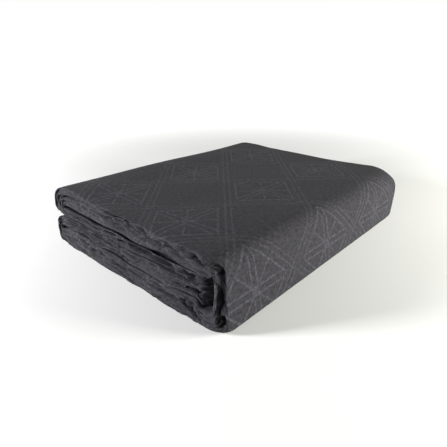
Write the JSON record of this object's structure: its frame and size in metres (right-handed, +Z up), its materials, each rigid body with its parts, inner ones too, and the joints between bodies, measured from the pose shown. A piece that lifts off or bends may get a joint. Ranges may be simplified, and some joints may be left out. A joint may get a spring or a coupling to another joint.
{
  "type": "folded comforter",
  "caption": "Comforter folded for the shelf: a padded woven strip with its ends turned in and closed like a book, between a broad spine fold and rounded lobes.",
  "frame": {"origin": "centre of the pack's box, at the height of the surface it rests on", "axes": "+Y along the spine fold, away from the layered near end; +X from the lobes to the spine fold; +Z up through the layers"},
  "size_m": [0.3816, 0.4634, 0.088],
  "materials": {
    "woven_cloth": "matte charcoal weave with a tone-on-tone trellis"
  },
  "bodies": {
    "root": {"comforter": "woven_cloth"}
  },
  "joints": []
}
